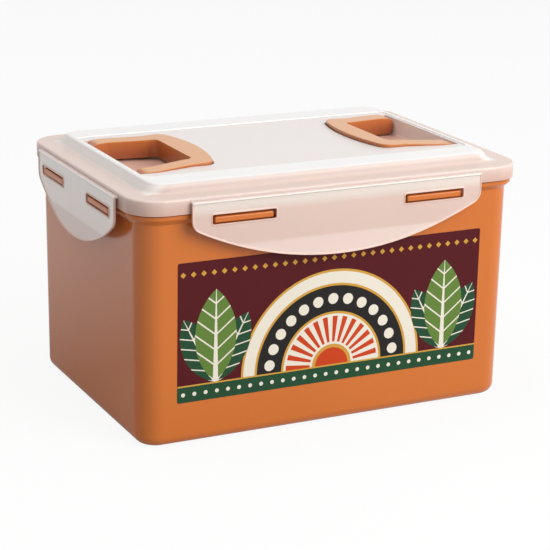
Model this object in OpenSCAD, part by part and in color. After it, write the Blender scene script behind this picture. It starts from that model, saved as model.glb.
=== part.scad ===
// Rectangular lock-lid kimchi crock with a press plate inside.
// Origin: middle of the resting face. X runs along the long side, the labelled front faces -Y, Z is up.

/* [Container] */
// Outside length at the sealing edge
box_l = 337; // [300:1:400]
// Outside width at the sealing edge
box_w = 237; // [210:1:300]
// Height from the resting face to the sealing edge
box_h = 200; // [170:1:260]
// Wall thickness
wall = 2.6; // [2:0.1:3.4]
// Floor thickness
floor_t = 3; // [2.6:0.1:5]
// Outside radius of the upright corners
corner_r = 20; // [19:0.5:26]
// Rounding of the bottom edge
foot_r = 9; // [7:0.5:9.5]
// Lean of each wall between the sealing edge and the resting face
draft = 1.5; // [0.2:0.1:2.5]
// Depth of the shallow recess under the base
base_recess = 1; // [0.5:0.1:1.5]
// Width of the standing border round that recess
foot_w = 16; // [12:1:30]

/* [Rim flange and lugs] */
// Drop from the sealing edge to the top of the flange
flange_drop = 8; // [7.6:0.1:10]
// Reach of the flange beyond the wall
flange_w = 4.6; // [3:0.1:5.5]
// Height of the flange's outer face
flange_h = 3; // [2:0.1:5]
// Drop from the top of the flange to the top of a lug
lug_drop = 2.4; // [1:0.1:3]
// Height of a locking lug
lug_h = 5; // [4:0.1:6.5]
// Reach of a lug into its slot, from the flap's inner face
lug_in = 1.6; // [1:0.1:2]
// Length of each front and back lug
long_lug_l = 50.6; // [30:0.2:58]
// Distance of those lugs from the middle
long_lug_x = 85.5; // [65:0.5:90]
// Length of each left and right lug
short_lug_l = 45.6; // [30:0.2:50]
// Distance of those lugs from the middle
short_lug_y = 52; // [45:0.5:55]

/* [Lid] */
// Overhang of the lip's outer face beyond the container wall
lid_over = 6.5; // [6:0.1:9]
// Thickness of the lid's sheet
lid_t = 2.2; // [1.6:0.1:3]
// Thickness of the outer lip
lip_t = 2; // [1.4:0.1:2.6]
// Rounding of the lip's top edge
lip_round = 2; // [1:0.1:2.2]
// Drop of the lip below the sealing edge
lip_drop = 7; // [5:0.1:7.2]
// Depth of the plug wall inside the container
plug_depth = 13; // [8:0.5:18]
// Thickness of the plug wall
plug_t = 1.8; // [1.2:0.1:2.4]
// Gap between the plug wall and the container
plug_gap = 0.6; // [0.4:0.1:1]
// Width of the flat ledge between the lip's outer face and the raised top
ledge_w = 17; // [15:0.5:24]
// Rise of the raised top above the ledge
top_rise = 7.5; // [6:0.5:12]
// Lean of the raised top's side wall
top_lean = 5.5; // [3:0.1:8]
// Corner radius at the foot of the raised top
top_r = 21; // [16:0.5:26]
// Size of the chamfer along the raised top's upper edge
top_edge = 1.2; // [0.6:0.1:1.6]
// Width of the border at the ends of the sunk panel
panel_end = 3.6; // [2:0.1:4]
// Width of the border along the front and back of the sunk panel
panel_side = 26; // [10:0.5:30]
// Depth of the sunk panel
panel_depth = 0.8; // [0.4:0.1:1]
// Corner radius of the sunk panel
panel_r = 8; // [4:0.5:14]

/* [Lid gasket] */
// Height of the gasket
gasket_h = 2.9; // [2:0.1:4]
// Gap between the gasket and the sealing edge
gasket_gap = 0.3; // [0.2:0.1:0.6]
// Gap between the gasket and the sides of its channel
gasket_side_gap = 0.15; // [0.1:0.05:0.3]

/* [Lock flaps] */
// Thickness of a flap
flap_t = 2; // [1.6:0.1:2.4]
// Gap between the lip and the flap's inner face
flap_stand = 2; // [1.6:0.1:3]
// Radius of the hinge bead along the top of a flap
bead_r = 1.2; // [1:0.1:1.3]
// Running gap round the hinge bead
bead_gap = 0.06; // [0.03:0.01:0.1]
// Drop of the hinge line below the lid's ledge
hinge_drop = 3.9; // [3:0.1:5]
// Drop of the belly's lowest point below the hinge line
flap_drop = 52.5; // [48:0.5:60]
// Length of the front and back flaps
long_flap_l = 260; // [236:1:272]
// Rise of the belly's curve from the middle to the ends, front and back flaps
long_flap_bow = 32; // [24:1:34]
// Length of the left and right flaps
short_flap_l = 176; // [164:1:180]
// Rise of the belly's curve from the middle to the ends, left and right flaps
short_flap_bow = 31; // [24:1:34]
// Rounding of a flap's lower corners
flap_r = 11; // [6:0.5:14]
// Gap below a lug in its slot
slot_gap = 1; // [0.8:0.1:1.2]
// Gap above a lug in its slot
slot_top_gap = 1.8; // [1:0.1:2.2]
// Gap beside the ends of a lug in its slot
slot_end_gap = 2.2; // [0.6:0.1:3]
// Width of the finger lip along the belly
finger_lip_w = 5; // [3:0.5:8]
// Reach of the finger lip beyond the flap's outer face
finger_lip_t = 1.4; // [0.8:0.1:2]

/* [Carry handles] */
// Width of a handle across its knuckles
handle_w = 126; // [110:1:140]
// Width of a handle across the corners of its bar
handle_bar_w = 110; // [90:1:124]
// Length of a handle from its knuckle end to the crown of its bar
handle_l = 75; // [66:0.5:80]
// Bow of the bar's outer edge
handle_bow = 9; // [4:0.5:12]
// Rounding of the handle's bowed corners
handle_r = 10; // [6:0.5:14]
// Width of each arm
arm_w = 16; // [12:0.5:20]
// Width of the bar at its crown
bar_w = 20; // [16:0.5:24]
// Rounding of the finger opening
opening_r = 6; // [3:0.5:9]
// Angle at which the handle's bar stands up from the lid
handle_tilt = 2; // [0:0.5:4]
// Thickness of the handle's top face
handle_t = 3; // [2:0.1:4]
// Depth of the handle's skirt below its top
handle_depth = 15; // [13:0.5:18]
// Thickness of the skirt
skirt_t = 2.4; // [1.8:0.1:3]
// Gap round the handle in its pocket
pocket_gap = 1; // [0.8:0.1:1.4]
// Gap between the knuckle and the pocket's end wall and floor
knuckle_gap = 1.2; // [1:0.1:2]
// Distance of the knuckle end from the edge of the raised top
handle_inset = 7.4; // [6:0.1:10]
// Radius of the pivot pins
pin_r = 2.4; // [1.8:0.1:3]
// Length of the pivot pins beyond the arms
pin_l = 3.6; // [3:0.1:5]
// Running gap round the pivot pins
pin_gap = 0.06; // [0.03:0.01:0.1]
// Wall round each pivot bore
boss_wall = 2.2; // [1.6:0.1:3]

/* [Press plate] */
// Gap between the plate and the container floor
plate_lift_gap = 0.3; // [0.2:0.1:1]
// Thickness of the plate's panel and wall
plate_t = 2.4; // [2:0.1:3]
// Height of the plate's wall
plate_h = 22; // [18:0.5:30]
// Gap between the wiper seal and the container wall
wiper_gap = 0.35; // [0.3:0.05:0.6]
// Height of the wiper seal
wiper_h = 8; // [5:0.5:9]
// Depth of the wiper seal across its width
wiper_w = 5.4; // [4.8:0.1:6]
// Reach of the wiper seal beyond the beads that hold it
wiper_proud = 1.6; // [1:0.1:2.2]
// Thickness of the beads above and below the wiper seal
rail_t = 2; // [1.6:0.1:3]
// Gap between the wiper seal and its rails
wiper_side_gap = 0.15; // [0.1:0.05:0.3]

/* [Plate grip] */
// Width of the folding grip
grip_w = 84; // [60:1:110]
// Length of the folding grip from its pivot
grip_l = 46; // [34:1:60]
// Width of the grip's strip
grip_strip = 8; // [6:0.5:12]
// Thickness of the grip's strip
grip_t = 6; // [5:0.5:8]
// Radius of the grip's pins
grip_pin_r = 1.8; // [1.4:0.1:2.2]
// Length of the grip's pins
grip_pin_l = 4; // [3:0.5:6]
// Gap between the grip and its ears
ear_gap = 0.5; // [0.3:0.1:1]
// Width of the ears along the pivot
ear_w = 5; // [4:0.5:8]
// Gap between the grip and the panel
grip_lift = 0.6; // [0.4:0.1:1.5]

/* [Vent] */
// Distance of the vent from the middle of the plate
vent_x = 100; // [75:1:120]
// Radius of the vent hole
vent_r = 8; // [5:0.5:12]
// Height of the collar round the vent hole
vent_collar = 5; // [3:0.5:8]
// Wall of that collar
vent_wall = 2.4; // [1.8:0.1:4]
// Running gap round the vent plug
vent_gap = 0.08; // [0.04:0.01:0.1]
// Length of the plug's stem in the collar
stem_l = 3.6; // [2:0.1:5]
// Thickness of the plug's cap
cap_t = 3; // [2:0.1:5]
// Radius of the plug's pull knob
knob_r = 4; // [3:0.5:4.5]
// Height of the plug's pull knob
knob_h = 6; // [4:0.5:10]

/* [Label] */
// Length of the label on the front wall
label_l = 275; // [200:1:290]
// Height of the label
label_h = 116; // [60:1:118]
// Height of the label's lower edge above the resting face
label_z = 36; // [20:0.5:50]
// Thickness of the label
label_t = 0.3; // [0.2:0.05:0.6]
// Corner radius of the label
label_r = 1.5; // [1:0.5:6]

/* [Hidden] */
$fn = 96;
// Overlap that joins the solids of one piece, and reach of cuts past a face
joint = 0.5;
cut = 1;
// Steps along a bowed edge and round its corners
bow_steps = 24;
corner_steps = 8;

box_hx = box_l / 2;
box_hy = box_w / 2;
flange_z = box_h - flange_drop;
lug_top = flange_z - lug_drop;
lug_low = lug_top - lug_h;

lid_hx = box_hx + lid_over;
lid_hy = box_hy + lid_over;
lid_r = corner_r + lid_over;
lip_low = box_h - lip_drop;
channel_z = box_h + gasket_gap + gasket_h;
ledge_z = channel_z + lid_t;
top_z = ledge_z + top_rise;
plug_low = box_h - plug_depth;
plug_u = corner_r - wall - plug_gap;
channel_u = lid_r - lip_t;

foot_hx = lid_hx - ledge_w;
foot_hy = lid_hy - ledge_w;
top_hx = foot_hx - top_lean;
top_hy = foot_hy - top_lean;

hinge_z = ledge_z - hinge_drop;
hinge_out = flap_stand + flap_t / 2;
slot_low = lug_low - slot_gap;
slot_h = lug_h + slot_gap + slot_top_gap;

knuckle_r = handle_depth / 2;
handle_end = top_hx - handle_inset;
pivot_x = handle_end - knuckle_r;
pivot_z = top_z - knuckle_r;
pocket_z = top_z - handle_depth - knuckle_gap;
pocket_end = handle_end + knuckle_gap;
arm_out = handle_w / 2;
bar_out = handle_bar_w / 2;
boss_r = pin_r + pin_gap + boss_wall;

plate_z = floor_t + plate_lift_gap;
plate_top = plate_z + plate_h;
wiper_top = plate_top - rail_t - wiper_side_gap;
wiper_low = wiper_top - wiper_h;
wiper_u = corner_r - wall - lean_at(wiper_low) - wiper_gap;
rail_u = wiper_u - wiper_proud;
groove_u = wiper_u - wiper_w;
panel_z = plate_z + plate_t;
grip_z = panel_z + grip_lift + grip_t / 2;
grip_y = -grip_l / 2;
ear_x = grip_w / 2 + ear_gap;
vent_top = panel_z + vent_collar;

// How far a wall leans in at a given height
function lean_at(z) = draft * (1 - z / box_h);

// Rectangle with round corners, given by its half sizes
module round_rect(hx, hy, r) {
    square([2 * hx, 2 * (hy - r)], center = true);
    square([2 * (hx - r), 2 * hy], center = true);
    for (sx = [-1, 1], sy = [-1, 1])
        translate([sx * (hx - r), sy * (hy - r)]) circle(r);
}

// Sweeps a profile round a rectangle with round corners.
// The profile's first axis points outwards from the corner centres and its second axis is the height.
module around(hx, hy, r) {
    for (corner = [[1, 1, 0], [-1, 1, 90], [-1, -1, 180], [1, -1, 270]])
        translate([corner[0] * (hx - r), corner[1] * (hy - r), 0])
            rotate([0, 0, corner[2]])
                rotate_extrude(angle = 90) children();
    for (side = [0, 180]) {
        rotate([0, 0, side]) translate([hx - r, 0, 0])
            rotate([90, 0, 0]) linear_extrude(2 * (hy - r), center = true) children();
        rotate([0, 0, side + 90]) translate([hy - r, 0, 0])
            rotate([90, 0, 0]) linear_extrude(2 * (hx - r), center = true) children();
    }
}

// Points of an arc, both ends included
function arc(x, y, r, from, to, steps) = [
    for (i = [0 : steps])
        let (angle = from + (to - from) * i / steps)
            [x + r * cos(angle), y + r * sin(angle)]
];

// Strip with a straight edge on the first axis and a bowed far edge at a depth, its far corners rounded
module bowed_strip(half_w, depth, bow, r) {
    bow_r = (half_w * half_w + bow * bow) / (2 * bow);
    bow_y = bow_r - depth;
    round_x = half_w - r;
    round_y = bow_y - sqrt(pow(bow_r - r, 2) - round_x * round_x);
    turn = atan2(round_y - bow_y, round_x);
    bow_step = (180 + 2 * turn) / bow_steps;
    polygon(concat(
        [[-half_w, 0], [half_w, 0]],
        arc(round_x, round_y, r, 0, turn, corner_steps),
        arc(0, bow_y, bow_r, turn - bow_step, bow_step - 180 - turn, bow_steps - 2),
        arc(-round_x, round_y, r, -180 - turn, -180, corner_steps)
    ));
}

// Solid outline of the container's wall, from the corner centre outwards
module container_outer() {
    low_u = corner_r - draft;
    polygon([
        [0, 0], [low_u - foot_r, 0], [low_u - foot_r, foot_r], [low_u, foot_r],
        [corner_r, box_h], [0, box_h]
    ]);
    translate([low_u - foot_r, foot_r]) circle(foot_r);
}

// Hollow inside that outline
module container_inner() {
    low_u = corner_r - draft - wall;
    inside_r = foot_r - wall;
    round_z = floor_t + inside_r;
    polygon([
        [0, floor_t], [low_u - inside_r, floor_t], [low_u - inside_r, round_z], [low_u, round_z],
        [corner_r - wall, box_h], [corner_r - wall, box_h + cut], [0, box_h + cut]
    ]);
    translate([low_u - inside_r, round_z]) circle(inside_r);
}

// Flange just below the lid, with a sloped underside
module flange_profile() {
    polygon([
        [corner_r - wall / 2, flange_z], [corner_r + flange_w, flange_z],
        [corner_r + flange_w, flange_z - flange_h],
        [corner_r - wall / 2, flange_z - flange_h - flange_w - wall / 2]
    ]);
}

// Two locking lugs on a straight side, reach measured from the middle of the container
module lug_pair(half, spread, length) {
    out = half + lid_over + flap_stand + lug_in;
    root = half + flange_w - cut;
    for (s = [-1, 1])
        translate([s * spread, 0, 0]) rotate([90, 0, -90])
            linear_extrude(length, center = true)
                polygon([
                    [root, lug_low], [out, lug_low], [out, lug_top - lug_h / 3],
                    [out - lug_in, lug_top], [root, lug_top]
                ]);
}

module container_body() {
    color("#cf7a3e") {
        difference() {
            union() {
                around(box_hx, box_hy, corner_r) difference() {
                    container_outer();
                    container_inner();
                }
                translate([0, 0, floor_t / 2])
                    cube([box_l - 2 * corner_r, box_w - 2 * corner_r, floor_t], center = true);
            }
            translate([0, 0, -cut]) linear_extrude(base_recess + cut)
                round_rect(box_hx - draft - foot_w, box_hy - draft - foot_w, corner_r);
        }
        around(box_hx, box_hy, corner_r) flange_profile();
        for (side = [0, 180]) {
            rotate([0, 0, side]) lug_pair(box_hy, long_lug_x, long_lug_l);
            rotate([0, 0, side + 90]) lug_pair(box_hx, short_lug_y, short_lug_l);
        }
    }
}

module front_label() {
    lean = atan(draft / box_h);
    color("#5a1923")
        translate([0, -(box_hy - draft), 0]) rotate([90 + lean, 0, 0])
            translate([0, label_z + label_h / 2, 0])
                linear_extrude(label_t) round_rect(label_l / 2, label_h / 2, label_r);
}

// Lip, gasket channel and plug wall of the lid
module lid_rim_profile() {
    inner_u = plug_u - plug_t;
    rim_h = ledge_z - lip_low;
    difference() {
        union() {
            translate([inner_u, lip_low]) square([lid_r - inner_u, rim_h - lip_round]);
            translate([inner_u, lip_low]) square([lid_r - lip_round - inner_u, rim_h]);
            translate([lid_r - lip_round, ledge_z - lip_round]) circle(lip_round);
        }
        translate([plug_u, lip_low - cut]) square([channel_u - plug_u, channel_z - lip_low + cut]);
    }
    translate([inner_u, plug_low]) square([plug_t, lip_low - plug_low + joint]);
}

// Leaning side wall of the raised top
module top_wall_profile() {
    polygon([
        [top_r, channel_z], [top_r, ledge_z], [top_r - top_lean + top_edge / 2, top_z - top_edge],
        [top_r - top_lean - top_edge, top_z], [top_r - top_lean - 2 * lid_t, top_z],
        [top_r - top_lean - 2 * lid_t, top_z - lid_t], [top_r - top_lean - lid_t, top_z - lid_t],
        [top_r - lid_t, ledge_z], [top_r - 2 * lid_t, ledge_z], [top_r - 2 * lid_t, channel_z]
    ]);
}

// Plan of a handle on the +X side: straight at the knuckles, drawn in along the arms, bowed at the bar
module handle_plan(end, length, gap) {
    knee = length - handle_bow - 2 * handle_r;
    translate([end, 0]) rotate([0, 0, -90]) {
        bowed_strip(bar_out + gap, length, handle_bow, handle_r + gap);
        polygon([
            [-arm_out - gap, 0], [arm_out + gap, 0], [arm_out + gap, -2 * knuckle_r],
            [bar_out + gap, -knee], [-bar_out - gap, -knee], [-arm_out - gap, -2 * knuckle_r]
        ]);
    }
}

// Outline of a handle's pocket on the +X side, grown by a margin
module pocket_outline(grow) {
    gap = pocket_gap + grow;
    handle_plan(pocket_end + grow, handle_l + knuckle_gap + grow + gap, gap);
}

// Walls and floor of one pocket, with the bosses of the pivot bores
module pocket_cup() {
    translate([0, 0, pocket_z - lid_t]) linear_extrude(lid_t) pocket_outline(lid_t);
    translate([0, 0, pocket_z - joint]) linear_extrude(top_z - pocket_z + joint) difference() {
        pocket_outline(lid_t);
        pocket_outline(0);
    }
    for (s = [-1, 1]) translate([pivot_x, s * (arm_out + pocket_gap + lid_t - joint), pivot_z])
        rotate([-90 * s, 0, 0]) cylinder(r = boss_r, h = pin_l);
}

// Ledge that carries the hinge bead of one flap, along +X at the front
module hinge_ledge(half, length) {
    line_y = -(half + hinge_out);
    difference() {
        translate([-length / 2, line_y + bead_r / 2, hinge_z - bead_r / 2])
            cube([length, hinge_out + joint - bead_r / 2, 1.5 * bead_r]);
        translate([-length / 2 - cut, line_y, hinge_z]) rotate([0, 90, 0])
            cylinder(r = bead_r + bead_gap, h = length + 2 * cut);
    }
}

module lid_shell() {
    color("#eee2da") difference() {
        union() {
            around(lid_hx, lid_hy, lid_r) lid_rim_profile();
            translate([0, 0, channel_z]) linear_extrude(lid_t) difference() {
                round_rect(lid_hx - lid_r + plug_u, lid_hy - lid_r + plug_u, plug_u);
                round_rect(foot_hx - lid_t, foot_hy - lid_t, top_r - lid_t);
            }
            around(foot_hx, foot_hy, top_r) top_wall_profile();
            translate([0, 0, top_z - lid_t]) linear_extrude(lid_t) difference() {
                round_rect(foot_hx - top_lean - lid_t, foot_hy - top_lean - lid_t, top_r - top_lean - lid_t);
                for (side = [0, 180]) rotate([0, 0, side]) pocket_outline(0);
            }
            for (side = [0, 180]) {
                rotate([0, 0, side]) pocket_cup();
                rotate([0, 0, side]) hinge_ledge(lid_hy, long_flap_l);
                rotate([0, 0, side + 90]) hinge_ledge(lid_hx, short_flap_l);
            }
        }
        translate([0, 0, top_z - panel_depth]) linear_extrude(panel_depth + cut)
            round_rect(top_hx - panel_end, top_hy - panel_side, panel_r);
        for (s = [-1, 1]) translate([s * pivot_x, 0, pivot_z]) rotate([90, 0, 0])
            cylinder(r = pin_r + pin_gap, h = 2 * (arm_out + pocket_gap + lid_t + pin_l), center = true);
    }
}

module lid_gasket() {
    color("#f4f1ea") around(lid_hx, lid_hy, lid_r)
        translate([plug_u + gasket_side_gap, channel_z - gasket_h])
            square([channel_u - plug_u - 2 * gasket_side_gap, gasket_h]);
}

// One lock flap, drawn at the front: hinge bead, plate with two slots and finger lip
module lock_flap(half, length, bow, lug_spread, lug_l) {
    line_y = -(half + hinge_out);
    slot_l = lug_l + 2 * slot_end_gap;
    translate([0, line_y, hinge_z]) {
        translate([-length / 2, 0, 0]) rotate([0, 90, 0]) cylinder(r = bead_r, h = length);
        rotate([90, 0, 0]) translate([0, 0, -flap_t / 2]) {
            linear_extrude(flap_t) difference() {
                bowed_strip(length / 2, flap_drop, bow, flap_r);
                for (s = [-1, 1]) translate([s * lug_spread - slot_l / 2, slot_low - hinge_z])
                    square([slot_l, slot_h]);
            }
            translate([0, 0, flap_t - joint]) linear_extrude(finger_lip_t + joint) difference() {
                bowed_strip(length / 2, flap_drop, bow, flap_r);
                translate([0, finger_lip_w]) bowed_strip(length / 2, flap_drop, bow, flap_r);
                translate([-length, slot_low - hinge_z - finger_lip_w]) square([2 * length, flap_drop]);
            }
        }
    }
}

module front_flap() {
    color("#e8cdc2") lock_flap(lid_hy, long_flap_l, long_flap_bow, long_lug_x, long_lug_l);
}

module back_flap() {
    color("#e8cdc2") rotate([0, 0, 180])
        lock_flap(lid_hy, long_flap_l, long_flap_bow, long_lug_x, long_lug_l);
}

module left_flap() {
    color("#e8cdc2") rotate([0, 0, 270])
        lock_flap(lid_hx, short_flap_l, short_flap_bow, short_lug_y, short_lug_l);
}

module right_flap() {
    color("#e8cdc2") rotate([0, 0, 90])
        lock_flap(lid_hx, short_flap_l, short_flap_bow, short_lug_y, short_lug_l);
}

// Finger opening of the handle, grown by a margin
module finger_opening(grow) {
    inner_x = handle_end - handle_l + bar_w - grow;
    knee_x = handle_end - handle_l + handle_bow + 2 * handle_r;
    bar_half = bar_out - arm_w + grow;
    arm_half = arm_out - arm_w + grow;
    round_by = opening_r + grow;
    for (s = [-1, 1]) {
        translate([inner_x + round_by, s * (bar_half - round_by)]) circle(round_by);
        polygon([
            [inner_x, 0], [inner_x, s * (bar_half - round_by)], [inner_x + round_by, s * bar_half],
            [knee_x, s * bar_half], [handle_end - 2 * knuckle_r, s * arm_half],
            [handle_end + cut, s * arm_half], [handle_end + cut, 0]
        ]);
    }
}

// One carry handle, drawn on the +X side: top face, skirt round the finger opening, knuckles and pins
module carry_handle() {
    arm_mid = arm_out - arm_w / 2;
    translate([pivot_x, 0, pivot_z]) rotate([0, handle_tilt, 0])
    translate([-pivot_x, 0, -pivot_z]) difference() {
        union() {
            translate([0, 0, top_z - handle_t]) linear_extrude(handle_t) difference() {
                handle_plan(handle_end, handle_l, 0);
                finger_opening(0);
            }
            translate([0, 0, top_z - handle_depth]) linear_extrude(handle_depth - joint) intersection() {
                handle_plan(handle_end, handle_l, 0);
                difference() {
                    finger_opening(skirt_t);
                    finger_opening(0);
                }
            }
            for (s = [-1, 1]) {
                translate([pivot_x, s * arm_mid, pivot_z]) rotate([90, 0, 0])
                    cylinder(r = knuckle_r, h = arm_w, center = true);
                translate([pivot_x, s * arm_out, pivot_z]) rotate([-90 * s, 0, 0])
                    translate([0, 0, -joint]) cylinder(r = pin_r, h = pin_l + joint);
            }
        }
        for (drop = [0, 2 * knuckle_r]) translate([pivot_x, 0, pivot_z - drop]) difference() {
            translate([0, -handle_w, 0]) cube([2 * knuckle_r, 2 * handle_w, 2 * knuckle_r]);
            translate([0, 0, drop]) rotate([90, 0, 0])
                cylinder(r = knuckle_r, h = 3 * handle_w, center = true);
        }
    }
}

module left_handle() {
    color("#dd9a5e") rotate([0, 0, 180]) carry_handle();
}

module right_handle() {
    color("#dd9a5e") carry_handle();
}

// Wall of the press plate with the two rails that hold the wiper seal
module plate_wall_profile() {
    wall_u = groove_u - plate_t;
    polygon([
        [0, plate_z], [groove_u, plate_z], [groove_u, wiper_low - wiper_side_gap - rail_t],
        [rail_u, wiper_low - wiper_side_gap - rail_t], [rail_u, wiper_low - wiper_side_gap],
        [groove_u, wiper_low - wiper_side_gap], [groove_u, plate_top - rail_t],
        [rail_u, plate_top - rail_t], [rail_u, plate_top], [wall_u, plate_top],
        [wall_u, panel_z], [0, panel_z]
    ]);
}

module press_plate() {
    ear_h = grip_z + grip_t / 2 - panel_z;
    color("#b8653a") difference() {
        union() {
            around(box_hx, box_hy, corner_r) plate_wall_profile();
            translate([0, 0, plate_z + plate_t / 2])
                cube([box_l - 2 * corner_r, box_w - 2 * corner_r, plate_t], center = true);
            for (s = [-1, 1]) translate([s * (ear_x + ear_w / 2), grip_y, panel_z - joint])
                translate([-ear_w / 2, -grip_strip / 2, 0]) cube([ear_w, grip_strip, ear_h + joint]);
            translate([vent_x, 0, panel_z - joint])
                cylinder(r = vent_r + vent_wall, h = vent_collar + joint);
        }
        translate([0, grip_y, grip_z]) rotate([0, 90, 0])
            cylinder(r = grip_pin_r + pin_gap, h = 2 * (ear_x + ear_w + cut), center = true);
        translate([vent_x, 0, plate_z - cut]) cylinder(r = vent_r, h = vent_top - plate_z + 2 * cut);
    }
}

module wiper_seal() {
    color("#f4f1ea") around(box_hx, box_hy, corner_r)
        translate([groove_u + wiper_side_gap, wiper_low])
            square([wiper_w - wiper_side_gap, wiper_h]);
}

module plate_grip() {
    color("#b8653a") {
        translate([0, grip_y, grip_z]) {
            for (s = [-1, 1]) {
                translate([s * (grip_w / 2 - grip_strip / 2), 0, 0]) {
                    rotate([0, 90, 0]) cylinder(r = grip_t / 2, h = grip_strip, center = true);
                    translate([-grip_strip / 2, 0, -grip_t / 2]) cube([grip_strip, grip_l, grip_t]);
                }
                translate([s * grip_w / 2, 0, 0]) rotate([0, 90 * s, 0])
                    translate([0, 0, -joint]) cylinder(r = grip_pin_r, h = grip_pin_l + ear_gap + joint);
            }
            translate([-grip_w / 2, grip_l - grip_strip, -grip_t / 2]) cube([grip_w, grip_strip, grip_t]);
        }
    }
}

module vent_plug() {
    color("#f4f1ea") translate([vent_x, 0, 0]) {
        translate([0, 0, vent_top - stem_l]) cylinder(r = vent_r - vent_gap, h = stem_l + joint);
        translate([0, 0, vent_top]) cylinder(r = vent_r + vent_wall, h = cap_t);
        translate([0, 0, vent_top + cap_t - joint]) cylinder(r = knob_r, h = knob_h + joint);
    }
}

container_body();
front_label();
lid_shell();
lid_gasket();
front_flap();
back_flap();
left_flap();
right_flap();
left_handle();
right_handle();
press_plate();
wiper_seal();
plate_grip();
vent_plug();
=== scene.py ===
# %% [markdown]
# # A lock-lid kimchi crock
# This lesson dresses a finished construction model of a kimchi crock: a terracotta-coloured plastic tub, a
# milky lid with four lock flaps, two tan carry handles and a press plate inside. The construction model is
# loaded first as a fixed frame. Each new mesh stands where the frame says and moves with one of its
# bodies.

# %% Load the frame
import math

import bmesh
import bpy
from mathutils import Matrix, Vector


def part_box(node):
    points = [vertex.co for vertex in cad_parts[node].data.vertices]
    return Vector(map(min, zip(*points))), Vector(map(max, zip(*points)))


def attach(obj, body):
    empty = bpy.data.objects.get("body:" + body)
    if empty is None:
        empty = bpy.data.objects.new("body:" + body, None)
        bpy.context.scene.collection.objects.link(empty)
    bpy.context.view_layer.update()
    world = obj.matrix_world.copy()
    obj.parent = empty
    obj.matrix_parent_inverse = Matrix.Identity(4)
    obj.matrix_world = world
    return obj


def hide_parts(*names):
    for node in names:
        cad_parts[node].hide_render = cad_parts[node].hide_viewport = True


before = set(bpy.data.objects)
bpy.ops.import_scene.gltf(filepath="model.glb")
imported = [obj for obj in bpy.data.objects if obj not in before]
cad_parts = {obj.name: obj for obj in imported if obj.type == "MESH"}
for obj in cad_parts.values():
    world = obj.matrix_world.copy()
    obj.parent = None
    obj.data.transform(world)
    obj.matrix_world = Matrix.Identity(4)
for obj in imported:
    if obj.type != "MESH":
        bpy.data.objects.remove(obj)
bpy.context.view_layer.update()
scene = bpy.context.scene

# %% [markdown]
# The meshes are drawn in millimetres, because that is how a plastic part is measured, and scaled to metres
# at the very end. The heights that two pieces share could be typed in again, but then they would have to
# be fitted by eye. So they are read from the frame: the sealing edge of the tub, the top of the lid and
# the reach of the lugs. The sizes of the rim and the place of the handles' pins, which several pieces use,
# stand here too.

# %% Shared sizes in millimetres
MM = 0.001
RIM_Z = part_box("container_body")[1].z / MM
LUG_REACH_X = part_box("container_body")[1].x / MM
LUG_REACH_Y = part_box("container_body")[1].y / MM
TOP_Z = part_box("lid_shell")[1].z / MM
PLUG_LOW_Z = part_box("lid_shell")[0].z / MM
RIM_X = 168.5
RIM_Y = 118.5
CORNER_R = 20
WALL = 2.6
HANDLE_END = 145.1
KNUCKLE_R = 7.5
PIVOT_X = HANDLE_END - KNUCKLE_R
PIVOT_Z = TOP_Z - KNUCKLE_R
print(f"sealing edge at {RIM_Z:.1f}, lid top at {TOP_Z:.1f}")
print(f"lugs reach {LUG_REACH_X:.1f} x {LUG_REACH_Y:.1f}")

# %% [markdown]
# The camera stands a little above the crock and to its left, as a product photographer's would. A view
# without perspective would be easier to set up, but it looks like a drawing. So it has a long lens, which
# keeps the upright edges nearly parallel. The small shift only centres the crock as it was framed.

# %% Camera
EYE = Vector((-0.69291, -1.41048, 0.56882))
AIM = Vector((0, 0, 0.1062))
ROLL = math.radians(0.975)
LENS = 123.59
SHIFT = (0.00925, -0.02436)

camera_data = bpy.data.cameras.new("camera")
camera_data.lens = LENS
camera_data.shift_x, camera_data.shift_y = SHIFT
camera = bpy.data.objects.new("camera", camera_data)
facing = (AIM - EYE).to_track_quat("-Z", "Y").to_matrix() @ Matrix.Rotation(ROLL, 3, "Z")
camera.matrix_world = Matrix.Translation(EYE) @ facing.to_4x4()
scene.collection.objects.link(camera)
scene.camera = camera
print(f"camera {(AIM - EYE).length:.2f} m away with a {LENS:.0f} mm lens")

# %% [markdown]
# Light, finishes and print are all drawn with nodes here, and most of them come down to a little
# arithmetic on each point. Every node could be made and linked by hand, line after line. Two helpers keep
# that short: one does a sum, and one turns a value within its reach into a level between two others.

# %% Node helpers
def math_node(tree, operation, first, second=0.0):
    """The result of a Math node whose inputs are numbers or other sockets."""
    node = tree.nodes.new("ShaderNodeMath")
    node.operation = operation
    for socket, value in zip(node.inputs, (first, second)):
        if isinstance(value, (int, float)):
            socket.default_value = value
        else:
            tree.links.new(value, socket)
    return node.outputs[0]


def level_between(tree, share, low, high, reach=(0, 1)):
    """A level that runs from low to high while the share runs through its reach."""
    level = tree.nodes.new("ShaderNodeMapRange")
    level.inputs["From Min"].default_value, level.inputs["From Max"].default_value = reach
    level.inputs["To Min"].default_value = low
    level.inputs["To Max"].default_value = high
    tree.links.new(share, level.inputs["Value"])
    return level.outputs[0]


print("node helpers: a sum and a level")

# %% [markdown]
# The studio is a white floor, a soft even sky and two large lamps. A big lamp at the front right lights
# the labelled wall and a weaker one overhead draws the lid's edges. A picture of a studio could light the
# crock too, but lamps need no file and are easy to move. What the camera sees behind the crock is plain
# white. The left end wall stays in the shade and lives from what it mirrors: in its gloss the floor looks
# dim close to the foot and white farther away.

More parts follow.
